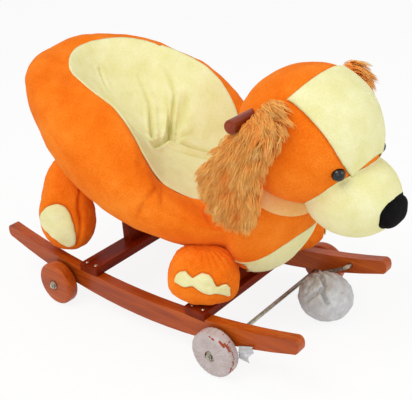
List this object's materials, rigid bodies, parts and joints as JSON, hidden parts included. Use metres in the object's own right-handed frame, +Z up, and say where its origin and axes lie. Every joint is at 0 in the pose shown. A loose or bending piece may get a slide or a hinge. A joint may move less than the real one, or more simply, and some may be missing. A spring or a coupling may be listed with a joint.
{
  "type": "plush rocking animal",
  "caption": "Stuffed dog ride-on with a scooped seat on wooden rockers, with hinged wheel bails at both ends that swing round the rocker tips.",
  "frame": {"origin": "on the floor under the wheels, midway along the length and across the width", "axes": "+X towards the dog's nose, +Y towards the dog's left side, +Z up"},
  "size_m": [0.7196, 0.3496, 0.453],
  "materials": {
    "stained_wood": "reddish brown stain under semi-gloss lacquer",
    "plywood": "raw",
    "steel": "zinc plated",
    "orange_plush": "short pile",
    "cream_plush": "short pile",
    "ear_pile": "long shaggy pile",
    "tan_band": "short pile",
    "black_plush": "short pile",
    "eye_plastic": "polished",
    "foam": "soft foam packing sheet"
  },
  "bodies": {
    "base": {"rocker_right": "stained_wood", "rocker_left": "stained_wood", "crossbar_rear": "stained_wood", "crossbar_front": "stained_wood", "screw_rear_right_outer": "steel", "screw_rear_right_inner": "steel", "screw_rear_left_outer": "steel", "screw_rear_left_inner": "steel", "screw_front_right_outer": "steel", "screw_front_right_inner": "steel", "screw_front_left_outer": "steel", "screw_front_left_inner": "steel", "post_rear": "stained_wood", "post_front": "stained_wood", "seat_board": "plywood", "neck_board": "plywood", "handle_dowel": "stained_wood", "seat_body": "orange_plush", "chest": "orange_plush", "seat_lining": "cream_plush", "belly_patch": "cream_plush", "neck_collar": "tan_band", "head": "orange_plush", "muzzle": "cream_plush", "nose": "black_plush", "forehead_patch": "cream_plush", "eye_right": "eye_plastic", "eye_left": "eye_plastic", "ear_right": "ear_pile", "ear_left": "ear_pile", "front_leg_right": "orange_plush", "front_leg_left": "orange_plush", "toes_right": "cream_plush", "toes_left": "cream_plush", "hind_leg_right": "orange_plush", "hind_leg_left": "orange_plush", "sole_right": "cream_plush", "sole_left": "cream_plush"},
    "front_axle": {"axle_bail_front": "steel", "foam_bag_front_left": "foam", "hub_cap_front_right": "steel", "hub_cap_front_left": "steel"},
    "rear_axle": {"axle_bail_rear": "steel", "hub_cap_rear_right": "steel", "hub_cap_rear_left": "steel"},
    "front_right_wheel": {"wheel_front_right": "stained_wood", "wheel_wrap_front_right": "foam"},
    "front_left_wheel": {"wheel_front_left": "stained_wood"},
    "rear_right_wheel": {"wheel_rear_right": "stained_wood"},
    "rear_left_wheel": {"wheel_rear_left": "stained_wood"}
  },
  "joints": [
    {"name": "front_bail_swing", "type": "hinge", "parent": "base", "child": "front_axle", "pos_m": [0.2135, 0, 0.0782], "axis": [0, -1, 0], "range_deg": [0, 220]},
    {"name": "rear_bail_swing", "type": "hinge", "parent": "base", "child": "rear_axle", "pos_m": [-0.2885, 0, 0.076], "axis": [0, 1, 0], "range_deg": [0, 235]},
    {"name": "front_right_wheel_spin", "type": "hinge", "parent": "front_axle", "child": "front_right_wheel", "pos_m": [0.1405, -0.15475, 0.03875], "axis": [0, 1, 0], "continuous": true},
    {"name": "front_left_wheel_spin", "type": "hinge", "parent": "front_axle", "child": "front_left_wheel", "pos_m": [0.1405, 0.15475, 0.03875], "axis": [0, 1, 0], "continuous": true},
    {"name": "rear_right_wheel_spin", "type": "hinge", "parent": "rear_axle", "child": "rear_right_wheel", "pos_m": [-0.2135, -0.15475, 0.03875], "axis": [0, 1, 0], "continuous": true},
    {"name": "rear_left_wheel_spin", "type": "hinge", "parent": "rear_axle", "child": "rear_left_wheel", "pos_m": [-0.2135, 0.15475, 0.03875], "axis": [0, 1, 0], "continuous": true}
  ]
}
